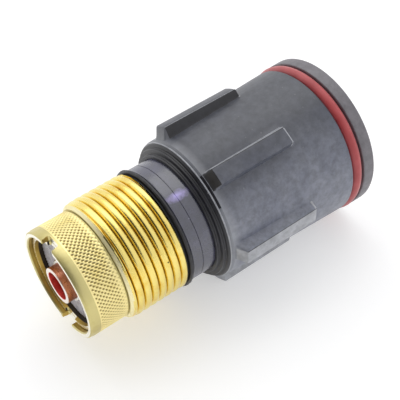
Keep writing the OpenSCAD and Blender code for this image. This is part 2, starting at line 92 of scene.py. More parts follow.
tent = bpy.data.worlds.new("tent")
bpy.context.scene.world = tent
tent.use_nodes = True
cloth = tent.node_tree
cloth_way = cloth.nodes.new("ShaderNodeTexCoord")
cloth_lean = cloth.nodes.new("ShaderNodeVectorMath")
cloth_lean.operation = "DOT_PRODUCT"
cloth_lean.inputs[1].default_value = BRIGHT_SIDE
cloth.links.new(cloth_way.outputs["Generated"], cloth_lean.inputs[0])
cloth_ramp = cloth.nodes.new("ShaderNodeValToRGB")
cloth.links.new(cloth_lean.outputs["Value"], cloth_ramp.inputs["Fac"])
cloth_stops = cloth_ramp.color_ramp.elements
cloth_stops[1].position = CLOTH_SHADES[-1][0]
for place, shade in CLOTH_SHADES[1:-1]:
    cloth_stops.new(place)
for stop, (place, shade) in zip(cloth_stops, CLOTH_SHADES):
    stop.color = (shade * 0.985, shade * 0.99, shade, 1)
opening = cloth.nodes.new("ShaderNodeVectorMath")
opening.operation = "DOT_PRODUCT"
opening.inputs[1].default_value = OPENING_SIDE
cloth.links.new(cloth_way.outputs["Generated"], opening.inputs[0])
opening_edge = cloth.nodes.new("ShaderNodeMapRange")
opening_edge.interpolation_type = "SMOOTHSTEP"
opening_edge.inputs["From Min"].default_value = OPENING_FROM
opening_edge.inputs["From Max"].default_value = OPENING_TO
cloth.links.new(opening.outputs["Value"], opening_edge.inputs["Value"])
opening_mix = cloth.nodes.new("ShaderNodeMix")
opening_mix.data_type = "RGBA"
opening_mix.inputs[7].default_value = OPENING_SHADE
cloth.links.new(opening_edge.outputs[0], opening_mix.inputs["Factor"])
cloth.links.new(cloth_ramp.outputs["Color"], opening_mix.inputs[6])
cloth.links.new(opening_mix.outputs[2], cloth.nodes["Background"].inputs["Color"])
cloth.nodes["Background"].inputs["Strength"].default_value = 1.0

overhead_lamp = bpy.data.objects.new(
    "overhead_lamp", bpy.data.lights.new("overhead_lamp", "AREA"))
overhead_lamp.data.shape = "RECTANGLE"
overhead_lamp.data.size = 0.55
overhead_lamp.data.size_y = 0.40
overhead_lamp.data.energy = 0.6
overhead_lamp.location = (0.17, 0.22, 0.42)
lamp_aim = Vector((0.035, 0.0, 0.0)) - overhead_lamp.location
overhead_lamp.rotation_euler = lamp_aim.to_track_quat("-Z", "Y").to_euler()
bpy.context.scene.collection.objects.link(overhead_lamp)


# Floor
# A sheet of white acrylic under the torch, lit softly from below. The torch rests on its
# ridges.

board_mesh = bpy.data.meshes.new("board")
board_z = cad_bounds[0][2]
board_reach = 3
board_mesh.from_pydata(
    [(x * board_reach, y * board_reach, board_z) for x, y in ((-1, -1), (1, -1), (1, 1), (-1, 1))],
    [],
    [(0, 1, 2, 3)],
)
board = bpy.data.objects.new("board", board_mesh)
bpy.context.scene.collection.objects.link(board)
board_paint = bpy.data.materials.new("white_board")
board_paint.use_nodes = True
board_shader = board_paint.node_tree.nodes["Principled BSDF"]
board_shader.inputs["Base Color"].default_value = (0.74, 0.74, 0.74, 1)
board_shader.inputs["Roughness"].default_value = 0.9
board_shader.inputs["Specular IOR Level"].default_value = 0.1
board_shader.inputs["Emission Color"].default_value = (1.0, 1.0, 1.0, 1)
board_shader.inputs["Emission Strength"].default_value = 0.42
board_mesh.materials.append(board_paint)


# Nose collar
# A pale brass collar, turned and chamfered, with fine knurling rolled round it for the
# fingers and two slots milled across its rim for a spanner. It is pressed on the gas lens.

COLLAR_X = 10.1
COLLAR_R = 13.7
COLLAR_MOUTH_R = 12.07
COLLAR_LIP_R = 11.0
COLLAR_SEAT_X = 7.95
COLLAR_LAND = 0.4
COLLAR_RELIEF = 0.25
KNURL_FROM = 2.55
KNURL_TO = 9.65
KNURL_AROUND = 78
KNURL_ALONG = 1.15
KNURL_DEPTH = 0.28
KNURL_ROWS = 62
KNURL_FACETS = 6
PIT_SPREAD = 0.38
PIT_ROUNDNESS = 0.8
SPANNER_TURN = -2.0
SPANNER_W = 4.1
SPANNER_DEPTH = 2.0
SPANNER_LEAD = 0.22
SPANNER_FLARE = 0.25
SPANNER_FILLET = 0.3
CUTTER_REACH = 20


def outline_of(corners):
    """Corners (x, radius, rounding) in mm as a closed outline with rounded corners."""
    steps = 4
    points = []
    for i, (x, r, rounding) in enumerate(corners):
        here = Vector((x, r))
        before = Vector(corners[i - 1][:2]) - here
        after = Vector(corners[(i + 1) % len(corners)][:2]) - here
        if rounding <= 0 or before.length < 1e-6 or after.length < 1e-6:
            points.append((x, r))
            continue
        half = before.angle(after) / 2
        cut = min(rounding / math.tan(half), 0.45 * before.length, 0.45 * after.length)
        start = here + before.normalized() * cut
        end = here + after.normalized() * cut
        for k in range(steps + 1):
            t = k / steps
            p = start * (1 - t) ** 2 + here * 2 * t * (1 - t) + end * t**2
            points.append((p.x, p.y))
    return points


def made(name, verts, faces, *, sharp=32):
    """A closed mesh object from vertices in mm, smooth up to an edge angle."""
    mesh = bpy.data.meshes.new(name)
    mesh.from_pydata([(x * 0.001, y * 0.001, z * 0.001) for x, y, z in verts], [], faces)
    work = bmesh.new()
    work.from_mesh(mesh)
    bmesh.ops.remove_doubles(work, verts=work.verts, dist=2e-7)
    bmesh.ops.dissolve_degenerate(work, edges=work.edges, dist=1e-8)
    bmesh.ops.recalc_face_normals(work, faces=work.faces)
    work.to_mesh(mesh)
    work.free()
    mesh.shade_smooth()
    mesh.set_sharp_from_angle(angle=math.radians(sharp))
    piece = bpy.data.objects.new(name, mesh)
    bpy.context.scene.collection.objects.link(piece)
    return piece


def turned(name, outline, *, angles=192, height=None, centre=(0.0, 0.0), sharp=32):
    """A closed outline (x, radius) turned about X, or about a line beside it.

    angles is a count or a list of angles, and height changes the radius from place to place.
    """
    if isinstance(angles, int):
        angles = [2 * math.pi * k / angles for k in range(angles)]
    verts = []
    for a in angles:
        for x, r in outline:
            if height:
                r = height(x, r, a)
            verts.append((x, centre[0] - r * math.sin(a), centre[1] + r * math.cos(a)))
    rows = len(outline)
    faces = []
    for k in range(len(angles)):
        m = (k + 1) % len(angles)
        for j in range(rows):
            n = (j + 1) % rows
            faces.append((k * rows + j, m * rows + j, m * rows + n, k * rows + n))
    return made(name, verts, faces, sharp=sharp)


def cut_away(piece, cutter):
    """Takes the cutter out of the piece, as a milling cutter does."""
    cut = piece.modifiers.new("cut", "BOOLEAN")
    cut.operation = "DIFFERENCE"
    cut.solver = "EXACT"
    cut.object = cutter
    seen = bpy.context.evaluated_depsgraph_get()
    mesh = bpy.data.meshes.new_from_object(piece.evaluated_get(seen))
    piece.modifiers.clear()
    old = piece.data
    piece.data = mesh
    bpy.data.meshes.remove(old)
    mesh.set_sharp_from_angle(angle=math.radians(32))
    bpy.data.objects.remove(cutter)


def prism(name, profile, low, high):
    """A profile of (x, y) in mm drawn out along Z."""
    n = len(profile)
    verts = [(x, y, low) for x, y in profile] + [(x, y, high) for x, y in profile]
    faces = [tuple(range(n)), tuple(range(2 * n - 1, n - 1, -1))]
    faces += [(i, (i + 1) % n, n + (i + 1) % n, n + i) for i in range(n)]
    return made(name, verts, faces)


def spanner_cutter():
    """A bar across the nose that mills both spanner slots, with a lead-in at the rim."""
    half = SPANNER_W / 2
    flare = half + SPANNER_FLARE
    inside = half - SPANNER_FILLET
    side = [
        (-1.0, flare), (0.0, flare), (SPANNER_LEAD, half),
        (SPANNER_DEPTH - SPANNER_FILLET, half), (SPANNER_DEPTH, inside),
    ]
    profile = [(x, -y) for x, y in side] + side[::-1]
    cutter = prism("spanner_cutter", profile, -CUTTER_REACH, CUTTER_REACH)
    cutter.data.transform(Matrix.Rotation(math.radians(SPANNER_TURN), 4, "X"))
    return cutter


def knurled(x, r, a):
    """Two crossed rows of rolled pits, which fade out at both ends of the knurl."""
    if r < COLLAR_R - 0.01 or not KNURL_FROM < x < KNURL_TO:
        return r
    around = a / (2 * math.pi) * KNURL_AROUND
    along = (x - KNURL_FROM) / KNURL_ALONG
    pit = (math.cos(2 * math.pi * (around + along)) + math.cos(2 * math.pi * (around - along))) / 2
    pit = max(0.0, pit + PIT_SPREAD) / (1 + PIT_SPREAD)
    left = KNURL_TO - x
    fade = min(1.0, (x - KNURL_FROM) / 0.5, 0.45 + 0.4 * left, left / 0.2)
    return r - KNURL_DEPTH * pit**PIT_ROUNDNESS * max(0.0, fade)


collar_outline = outline_of([
    (0.40, COLLAR_MOUTH_R, 0.1), (0.0, COLLAR_MOUTH_R + 0.35, 0.12),
    (0.0, COLLAR_R - 0.45, 0.2), (0.45, COLLAR_R, 0.2),
])
collar_outline += [(1.2, COLLAR_R), (2.0, COLLAR_R)]
collar_outline += [
    (KNURL_FROM + (KNURL_TO - KNURL_FROM) * k / KNURL_ROWS, COLLAR_R)
    for k in range(KNURL_ROWS + 1)
]
collar_outline += outline_of([
    (COLLAR_X - COLLAR_LAND, COLLAR_R, 0.08),
    (COLLAR_X - COLLAR_LAND + 0.1, COLLAR_R - COLLAR_RELIEF, 0.0),
    (COLLAR_X, COLLAR_R - COLLAR_RELIEF, 0.2), (COLLAR_X, COLLAR_LIP_R, 0.1),
    (COLLAR_SEAT_X, COLLAR_LIP_R, 0.0), (COLLAR_SEAT_X, COLLAR_MOUTH_R, 0.0),
])
nose_collar = turned("knurled_nose_collar", collar_outline,
                     angles=KNURL_AROUND * KNURL_FACETS, height=knurled)
cut_away(nose_collar, spanner_cutter())


def part(tree, kind, sockets, **settings):
    """A shader node with its sockets set or linked."""
    new = tree.nodes.new("ShaderNode" + kind)
    for name, value in settings.items():
        setattr(new, name, value)
    for socket, value in sockets.items():
        if isinstance(value, bpy.types.NodeSocket):
            tree.links.new(value, new.inputs[socket])
        else:
            new.inputs[socket].default_value = value
    return new


def new_finish(name):
    """A new material: itself, its node tree, its shader and the place on the piece."""
    material = bpy.data.materials.new(name)
    material.use_nodes = True
    tree = material.node_tree
    here = part(tree, "TexCoord", {}).outputs["Object"]
    return material, tree, tree.nodes["Principled BSDF"], here


def clouds(tree, here, scale, detail, roughness=0.5, distortion=0.0):
    """Soft noise from place to place, mostly from 0.3 to 0.7."""
    return part(tree, "TexNoise", {
        "Vector": here, "Scale": scale, "Detail": detail, "Roughness": roughness,
        "Distortion": distortion}).outputs["Fac"]


def ranged(tree, value, low, high, to_low=0.0, to_high=1.0, kind="LINEAR"):
    """A value taken from one range to another and held at its ends."""
    return part(tree, "MapRange", {
        "Value": value, "From Min": low, "From Max": high, "To Min": to_low,
        "To Max": to_high}, interpolation_type=kind).outputs[0]


def joined(tree, operation, first, second):
    """Two values put together by one step of arithmetic."""
    return part(tree, "Math", {0: first, 1: second}, operation=operation).outputs[0]


def joined_vectors(tree, operation, first, second):
    """Two places or ways put together by one step of arithmetic."""
    return part(tree, "VectorMath", {0: first, 1: second}, operation=operation).outputs[0]


def coated(tree, share, under, over):
    """One colour laid over another by a share."""
    colours = [(*c, 1) if isinstance(c, tuple) else c for c in (under, over)]
    mix = part(tree, "Mix", {"Factor": share, 6: colours[0], 7: colours[1]}, data_type="RGBA")
    return mix.outputs[2]


def two_colours(tree, amount, low, high, start=0.35, end=0.65):
    """A colour that goes from low to high as amount rises."""
    ramp = part(tree, "ValToRGB", {"Fac": amount})
    for stop, place, colour in zip(ramp.color_ramp.elements, (start, end), (low, high)):
        stop.position = place
        stop.color = (*colour, 1)
    return ramp.outputs["Color"]


def relief(tree, shader, height, strength, depth):
    """Fine relief on a finish, of a depth in metres."""
    bump = part(tree, "Bump", {"Height": height, "Strength": strength, "Distance": depth})
    tree.links.new(bump.outputs[0], shader.inputs["Normal"])


def turned_metal(name, colour, stain, *, smooth=0.24, rough=0.42, depth=9e-5, cloud=170,
                 centre=(0.0, 0.0, 0.0), hollow_shade=None, specks=0.0):
    """Metal off the lathe: rings from the tool, faint tarnish, scratches, painted shade in hollows.

    hollow_shade is (deep radius, shallow radius, colour) of painted shade, darkest at the deep
    radius, and specks the share of dark specks.
    """
    material, tree, shader, here = new_finish(name)
    here = joined_vectors(tree, "SUBTRACT", here, centre)
    across = joined_vectors(tree, "MULTIPLY", here, (0, 1, 1))
    radius = part(tree, "VectorMath", {0: across}, operation="LENGTH").outputs["Value"]
    along = part(tree, "SeparateXYZ", {0: here}).outputs["X"]
    ring = part(tree, "CombineXYZ", {"X": along, "Y": radius}).outputs[0]
    tool = clouds(tree, ring, 5200.0, 3.0, roughness=0.65)
    scratch = clouds(tree, here, 900.0, 4.0, distortion=2.5)
    tarnish = clouds(tree, here, cloud, 5.0, roughness=0.6)
    skin = two_colours(tree, tarnish, stain, colour, 0.28, 0.50)
    # Painted shade: the colour darkens from the shallow radius to the deep one.
    if hollow_shade:
        deep, shallow, hollow_shade_colour = hollow_shade
        skin = coated(tree, ranged(tree, radius, deep, shallow), hollow_shade_colour, skin)
    if specks:
        spots = part(tree, "TexVoronoi", {"Vector": here, "Scale": 210.0}).outputs["Distance"]
        skin = coated(tree, joined(tree, "LESS_THAN", spots, specks), skin, (0.04, 0.03, 0.02))
    tree.links.new(skin, shader.inputs["Base Color"])
    rub = joined(tree, "MULTIPLY", tool, scratch)
    tree.links.new(ranged(tree, rub, 0.12, 0.42, rough, smooth), shader.inputs["Roughness"])
    relief(tree, shader, joined(tree, "ADD", tool, scratch), 0.35, depth)
    shader.inputs["Metallic"].default_value = 1.0
    return material


pale_brass = turned_metal("pale_brass", (0.64, 0.56, 0.25), (0.53, 0.44, 0.15),
                          smooth=0.28, rough=0.44)
# The knurl's pits get painted shade, darkest at their bottoms.
knurl_brass = turned_metal("knurled_brass", (0.94, 0.81, 0.38), (0.84, 0.69, 0.26),
                           smooth=0.28, rough=0.44,
                           hollow_shade=(0.01346, 0.01361, (0.24, 0.17, 0.05)))
# Painted shade: a darker brass for the bores.
bore_shade_brass = turned_metal("bore_shade_brass", (0.50, 0.35, 0.085), (0.34, 0.22, 0.05),
                           smooth=0.30, rough=0.48)
# Painted highlight: a near-white brass for the rims and the slots' floors.
painted_highlight_brass = turned_metal("painted_highlight_brass", (0.93, 0.90, 0.78), (0.88, 0.82, 0.62),
                           smooth=0.20, rough=0.32, depth=4e-5)


def finish_mouth(piece, rim_x, finishes):
    """The rim of a ring and its slots' floors get painted highlight, and its bore painted shade."""
    for finish in finishes:
        piece.data.materials.append(finish)
    for face in piece.data.polygons:
        out = face.normal.yz.dot(face.center.yz.normalized())
        x = face.center.x * 1000
        if face.normal.x < -0.9 and (x < rim_x + 0.1 or abs(x - SPANNER_DEPTH) < 0.1):
            face.material_index = 1
        elif out < 0.3 and abs(face.normal.x) < 0.5:
            face.material_index = 2


finish_mouth(nose_collar, 0.0, (pale_brass, painted_highlight_brass, bore_shade_brass, knurl_brass))
for face in nose_collar.data.polygons:
    if KNURL_FROM < face.center.x * 1000 < KNURL_TO and face.center.yz.length > 0.0130:
        face.material_index = 3
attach(nose_collar, "gas_lens")
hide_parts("nose_collar")


# Lens ring
# The brass body of the gas lens: a thin ring round the screens, a web with gas holes behind
# them and a spigot that enters the barrel. The spanner slots go through its rim as well.

RING_BORE_R = 10.89
RING_R = 12.02
RING_FROM = 1.2
RING_LEAD = 0.85
RING_LEAD_R = RING_BORE_R + 0.22
WEB_FROM = 6.9
HUB_R = 4.58
SPIGOT_R = 10.6
SPIGOT_BORE_R = 8.9
SPIGOT_END = 14.1
SEAL_GROOVE_R = 9.63
SEAL_GROOVE_FROM = SPIGOT_END - 2.2
SEAL_GROOVE_TO = SPIGOT_END - 0.8
WAIST_R = 10.9
WAIST_FROM = WEB_FROM + 1
WEB_HOLES = 10
WEB_HOLE_R = 0.7
WEB_CIRCLE_R = 8.15

lens_ring = turned("lens_ring_body", outline_of([
    (RING_FROM + RING_LEAD, RING_BORE_R, 0.1), (RING_FROM, RING_LEAD_R, 0.05),
    (RING_FROM, RING_R, 0.12), (WAIST_FROM, RING_R, 0.0),
    (WAIST_FROM, WAIST_R, 0.0), (COLLAR_X, WAIST_R, 0.05), (COLLAR_X, SPIGOT_R, 0.05),
    (SEAL_GROOVE_FROM, SPIGOT_R, 0.05), (SEAL_GROOVE_FROM, SEAL_GROOVE_R, 0.1),
    (SEAL_GROOVE_TO, SEAL_GROOVE_R, 0.1), (SEAL_GROOVE_TO, SPIGOT_R, 0.05),
    (SPIGOT_END, SPIGOT_R, 0.25), (SPIGOT_END, SPIGOT_BORE_R, 0.15),
    (COLLAR_X, SPIGOT_BORE_R, 0.0), (COLLAR_X, HUB_R, 0.1), (WEB_FROM, HUB_R, 0.1),
    (WEB_FROM, RING_BORE_R, 0.15),
]))
cut_away(lens_ring, spanner_cutter())


def beside(turn, radius):
    """Where a hole lies on its circle: turned from the lowest point, as (y, z)."""
    a = math.radians(turn)
    return (radius * math.sin(a), -radius * math.cos(a))


def round_bar(name, r, low, high, centre, around=32, flare=0.0):
    """A round bar along X, flared at its high end, to drill a hole with."""
    outline = [(low, 0.0), (low, r), (high - flare, r)]
    if flare:
        outline += [(high, r + flare), (high + 1.0, r + flare), (high + 1.0, 0.0)]
    else:
        outline += [(high, r), (high, 0.0)]
    return turned(name, outline, angles=around, centre=centre)


for k in range(WEB_HOLES):
    cut_away(lens_ring, round_bar("web_drill", WEB_HOLE_R, WEB_FROM - 1, COLLAR_X + 1,
                                  beside(360 * k / WEB_HOLES, WEB_CIRCLE_R), 20))
# Painted shade: a near-black brass for the lens ring's bore, standing in for its dark reflections.
deep_shade_brass = turned_metal("deep_shade_brass", (0.075, 0.060, 0.045), (0.035, 0.030, 0.030),
                          smooth=0.40, rough=0.60)
finish_mouth(lens_ring, RING_FROM, (pale_brass, painted_highlight_brass, deep_shade_brass, bore_shade_brass))
# The lead-in at the rim gets the darker bore brass, painted shade as well.
for face in lens_ring.data.polygons:
    x, y, z = face.center * 1000
    if x < RING_FROM + RING_LEAD and math.hypot(y, z) < RING_LEAD_R:
        face.material_index = 3
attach(lens_ring, "gas_lens")
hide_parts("lens_ring")


# Nose tube
# A copper tube that carries the electrode. Its mouth has a near-white painted highlight, its
# side is turned copper that has gone brown, and its bore is painted deep red, a painted
# reflection of the copper bore in itself. Its rear end has the thread that holds the whole
# lens in the core.

TUBE_R = 4.53
TUBE_BORE_R = 3.5
LENS_FLANGE_R = 7.4
LENS_THREAD_R = 7.0
COLLET_WAY_R = 4.35
FLANGE_X = 10.15
FLANGE_END_X = 12.55
THREAD_END_X = 22.1
THREAD_STEPS = 18
THREAD_STEP = 0.5
THREAD_DEPTH = 0.28
CONE_FROM = 14.65
CONE_TO = 16.05
BORE_EDGE_R = TUBE_BORE_R + 0.06

nose_tube = turned("copper_nose_tube", outline_of([
    (0.0, TUBE_BORE_R, 0.16), (0.0, TUBE_R, 0.16), (FLANGE_X, TUBE_R, 0.0),
    (FLANGE_X, LENS_FLANGE_R, 0.1), (FLANGE_END_X, LENS_FLANGE_R, 0.1),
    (FLANGE_END_X, LENS_THREAD_R, 0.0),
] + [
    (FLANGE_END_X + 0.55 + THREAD_STEP * k, LENS_THREAD_R - (THREAD_DEPTH if k % 2 else 0.0), 0.0)
    for k in range(THREAD_STEPS)
] + [
    (THREAD_END_X, LENS_THREAD_R - 0.3, 0.0), (THREAD_END_X, COLLET_WAY_R, 0.1),
    (CONE_TO, COLLET_WAY_R, 0.0), (CONE_FROM, TUBE_BORE_R, 0.0),
]), angles=128)
copper_side = turned_metal("brown_copper", (0.88, 0.38, 0.23), (0.50, 0.15, 0.085),
                           smooth=0.22, rough=0.38, cloud=320)
copper_highlight = turned_metal("painted_highlight_copper", (0.86, 0.78, 0.72), (0.78, 0.60, 0.50),
                           smooth=0.22, rough=0.36)
copper_bore = turned_metal("painted_red_bore_copper", (0.84, 0.115, 0.09), (0.48, 0.05, 0.04),
                           smooth=0.35, rough=0.55, cloud=500)
for finish in (copper_side, copper_highlight, copper_bore):
    nose_tube.data.materials.append(finish)
# The mouth's faces get the painted highlight and the bore the painted red reflection.
for face in nose_tube.data.polygons:
    x, y, z = face.center * 1000
    r = math.hypot(y, z)
    if x < 0.2 and r > BORE_EDGE_R:
        face.material_index = 1
    elif r < BORE_EDGE_R:
        face.material_index = 2
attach(nose_tube, "gas_lens")
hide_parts("collet_body")


# Lens screens
# Discs of fine stainless gauze that calm the gas. The front one is woven here wire by wire,
# each wire going over and under its neighbours; the three behind it are the same cloth.

SCREEN_X = 3.0
SCREEN_T = 0.3
SCREEN_R = 10.84
SCREEN_HOLE_R = 4.6
WIRE_PITCH = 0.52
WIRE_R = 0.098
WIRE_CORNER_R = WIRE_R * 1.2
WIRE_REACH_R = SCREEN_R - 0.05
WEAVE_TURN = 24


def woven_wires():
    """The wires of both ways, cut off at the screen's rim and at its hole."""
    verts, faces = [], []
    count = int(SCREEN_R / WIRE_PITCH)
    swing = SCREEN_T / 2 - WIRE_R
    middle = SCREEN_X + SCREEN_T / 2
    up = Vector((1, 0, 0))

    def wire(points, side):
        start = len(verts)
        for i, p in enumerate(points):
            for k in range(4):
                a = math.pi / 4 + k * math.pi / 2
                out = side * math.cos(a) + up * math.sin(a)
                verts.append(p + out * WIRE_CORNER_R)
            if i:
                b = start + 4 * i
                for k in range(4):
                    n = (k + 1) % 4
                    faces.append((b - 4 + k, b - 4 + n, b + n, b + k))
        faces.append((start + 3, start + 2, start + 1, start))
        end = start + 4 * (len(points) - 1)
        faces.append((end, end + 1, end + 2, end + 3))

    for across in (0, 1):
        side = Vector((0, 1, 0)) if across else Vector((0, 0, 1))
        for i in range(-count, count + 1):
            c = i * WIRE_PITCH
            if abs(c) >= SCREEN_R - 0.2:
                continue
            reach = math.sqrt(WIRE_REACH_R**2 - c * c)
            hole = math.sqrt(max(0.0, SCREEN_HOLE_R**2 - c * c))
            spans = [(-reach, -hole), (hole, reach)] if hole > 0.01 else [(-reach, reach)]
            for low, high in spans:
                steps = max(2, int((high - low) / (WIRE_PITCH / 2)))
                points = []
                for k in range(steps + 1):
                    s = low + (high - low) * k / steps
                    over = 1 if (i + across) % 2 else -1
                    x = middle + swing * over * math.cos(math.pi * s / WIRE_PITCH)
                    points.append(Vector((x, c, s)) if across else Vector((x, s, c)))
                wire(points, side)
    return verts, faces


gauze_verts, gauze_faces = woven_wires()
spin = Matrix.Rotation(math.radians(WEAVE_TURN), 3, "X")
front_screen = made("woven_front_screen", [spin @ v for v in gauze_verts], gauze_faces, sharp=60)


def steel(name, colour, rough, metal=1.0):
    """Plain steel with small changes of tone and gloss."""
    material, tree, shader, here = new_finish(name)
    patch = clouds(tree, here, 600.0, 4.0)
    dark = tuple(0.80 * c for c in colour)
    tree.links.new(two_colours(tree, patch, dark, colour), shader.inputs["Base Color"])
    gloss = ranged(tree, patch, 0.0, 1.0, rough + 0.1, rough - 0.08)
    tree.links.new(gloss, shader.inputs["Roughness"])
    relief(tree, shader, clouds(tree, here, 5000.0, 2.0), 0.3, 2e-5)
    shader.inputs["Metallic"].default_value = metal
    return material


def gauze_cloth(name, colour):
    """The same gauze on a thin disc: crossed wires as colour and bump."""
    material, tree, shader, here = new_finish(name)
    across = part(tree, "SeparateXYZ", {0: here})
    ridges = []
    for side in ("Y", "Z"):
        turn = joined(tree, "MULTIPLY", across.outputs[side], 2000 * math.pi / WIRE_PITCH)
        ridges.append(part(tree, "Math", {0: turn}, operation="SINE").outputs[0])
    weave = joined(tree, "MAXIMUM", *ridges)
    dark = tuple(0.25 * c for c in colour)
    tree.links.new(two_colours(tree, weave, dark, colour, 0.1, 0.7), shader.inputs["Base Color"])
    relief(tree, shader, weave, 0.6, 6e-5)
    shader.inputs["Metallic"].default_value = 1.0
    shader.inputs["Roughness"].default_value = 0.45
    return material


def dress(node, material):
    """A piece that is kept as it is gets its finish."""
    mesh = nodes[node].data
    mesh.materials.clear()
    mesh.materials.append(material)
    mesh.shade_smooth()
    mesh.set_sharp_from_angle(angle=math.radians(30))


front_screen.data.materials.append(steel("gauze_wire", (0.96, 0.95, 0.99), 0.45, 0.35))
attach(front_screen, "gas_lens")
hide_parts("front_screen")
back_gauze = gauze_cloth("back_gauze", (0.14, 0.14, 0.16))
for node in ("second_screen", "third_screen", "rear_screen"):
    dress(node, back_gauze)
dress("screen_spacers", pale_brass)


# Ferrule
# A small ring of bright steel that keeps the screens back. It is turned with a rounded front
# edge and pressed on the nose tube.

FERRULE_FROM = 2.3
FERRULE_R = 5.28
FERRULE_BORE_R = 4.58

ferrule = turned("bright_ferrule", outline_of([
    (FERRULE_FROM, FERRULE_BORE_R, 0.0), (FERRULE_FROM, FERRULE_R - 0.23, 0.22),
    (FERRULE_FROM + 0.25, FERRULE_R, 0.15), (SCREEN_X, FERRULE_R, 0.0),
    (SCREEN_X, FERRULE_BORE_R, 0.0),
]), angles=96)
ferrule.data.materials.append(steel("bright_ferrule_steel", (0.80, 0.79, 0.75), 0.22))
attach(ferrule, "gas_lens")
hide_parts("tube_ferrule")


# Threaded barrel
# Golden brass with a coarse screw-cut thread for the cup, one helix from end to end with
# rounded crests, a chamfer at its mouth, and a plain tail that is moulded into the neck.

BARREL_FROM = 10.2
BARREL_TO = 25.3
TAIL_TO = 35.7
CUP_THREAD_R = 15.0
THREAD_ROOT_R = 13.8
CUP_PITCH = 2.0
BARREL_BORE_R = 10.9
BARREL_TAIL_R = 12.5
BARREL_FACETS = 216
PALE_MOUTH_L = 0.62
THREAD_SHAPE = [
    (0.00, 1.00), (0.12, 0.985), (0.21, 0.946), (0.29, 0.882), (0.35, 0.794), (0.395, 0.675),
    (0.43, 0.52), (0.455, 0.35), (0.475, 0.18), (0.49, 0.05), (0.51, 0.05), (0.525, 0.18),
    (0.545, 0.35), (0.57, 0.52), (0.605, 0.675), (0.65, 0.794), (0.71, 0.882), (0.79, 0.946),
    (0.88, 0.985),
]


def thread_radius(x, h):
    """The thread's radius at x, where h goes from 0 at its root to 1 at its crest."""
    into = x - BARREL_FROM
    run_in = min(1.0, max(0.0, (into - 0.6) / 0.6))
    r = CUP_THREAD_R - (CUP_THREAD_R - THREAD_ROOT_R) * (1 - h) * run_in
    lead = CUP_THREAD_R - 0.3 + 0.3 * min(1.0, max(0.0, (into - 0.9) / 1.6))
    mouth = CUP_THREAD_R - 1.1 + into
    rear = CUP_THREAD_R - 0.2 + (BARREL_TO - x)
    return min(r, lead, mouth, rear)


def threaded_barrel():
    """The barrel as one skin: a row of points round the helix for each facet."""
    rows = []
    for turn in range(-1, int((BARREL_TO - BARREL_FROM) / CUP_PITCH) + 3):
        for share, h in THREAD_SHAPE:
            rows.append((BARREL_FROM + (turn + share) * CUP_PITCH - CUP_PITCH, h))
    closing = [
        (BARREL_TO, BARREL_TAIL_R), (TAIL_TO, BARREL_TAIL_R), (TAIL_TO, BARREL_BORE_R + 0.3),
        (TAIL_TO - 0.3, BARREL_BORE_R), (BARREL_FROM + 0.5, BARREL_BORE_R),
        (BARREL_FROM, BARREL_BORE_R + 0.5),
    ]
    verts, faces = [], []
    for k in range(BARREL_FACETS):
        a = 2 * math.pi * k / BARREL_FACETS
        facet = []
        for x, h in rows:
            x = min(max(x + CUP_PITCH * k / BARREL_FACETS, BARREL_FROM), BARREL_TO)
            facet.append((x, thread_radius(x, h)))
        for x, r in facet + closing:
            verts.append((x, -r * math.sin(a), r * math.cos(a)))
    size = len(rows) + len(closing)
    last = len(rows) - 1
    for k in range(BARREL_FACETS):
        here = k * size
        seam = k == BARREL_FACETS - 1
        there = 0 if seam else here + size
        shift = len(THREAD_SHAPE) if seam else 0
        for j in range(last):
            p, q = min(j + shift, last), min(j + 1 + shift, last)
            if p != q:
                faces.append((here + j, there + p, there + q, here + j + 1))
            else:
                faces.append((here + j, there + p, here + j + 1))
        for j in range(shift):
            faces.append((here, there + j, there + j + 1))
        for j in range(last, size):
            n = (j + 1) % size
            faces.append((here + j, there + j, there + n, here + n))
    return made("threaded_cup_barrel", verts, faces, sharp=38)


barrel = threaded_barrel()
# The thread's roots get painted shade, darkest at the root radius.
gold_brass = turned_metal("golden_brass", (0.92, 0.75, 0.24), (0.84, 0.60, 0.12),
                          smooth=0.13, rough=0.28, cloud=260, specks=0.044,
                          hollow_shade=(0.01380, 0.01416, (0.46, 0.38, 0.22)))
# Painted highlight: the mouth's chamfer is a near-white brass, with a rougher finish.
mouth_highlight_brass = turned_metal("mouth_highlight_brass", (1.0, 0.93, 0.60), (0.94, 0.84, 0.48),
                            smooth=0.50, rough=0.66)
barrel.data.materials.append(gold_brass)
barrel.data.materials.append(mouth_highlight_brass)
for face in barrel.data.polygons:
    if face.center.x * 1000 < BARREL_FROM + PALE_MOUTH_L:
        face.material_index = 1
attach(barrel, "torch")
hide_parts("threaded_barrel")


# Insulating washer
# A thin washer of black rubber between the barrel and the neck, a little smaller than both. It
# is slipped over the barrel's tail before the neck is moulded on.

WASHER_R = 14.4
WASHER_TO = 25.9
TAIL_WAY_R = 12.55

washer = turned("insulating_washer_ring", outline_of([
    (BARREL_TO, TAIL_WAY_R, 0.0), (BARREL_TO, WASHER_R, 0.12), (WASHER_TO, WASHER_R, 0.12),
    (WASHER_TO, TAIL_WAY_R, 0.0),
]), angles=128)


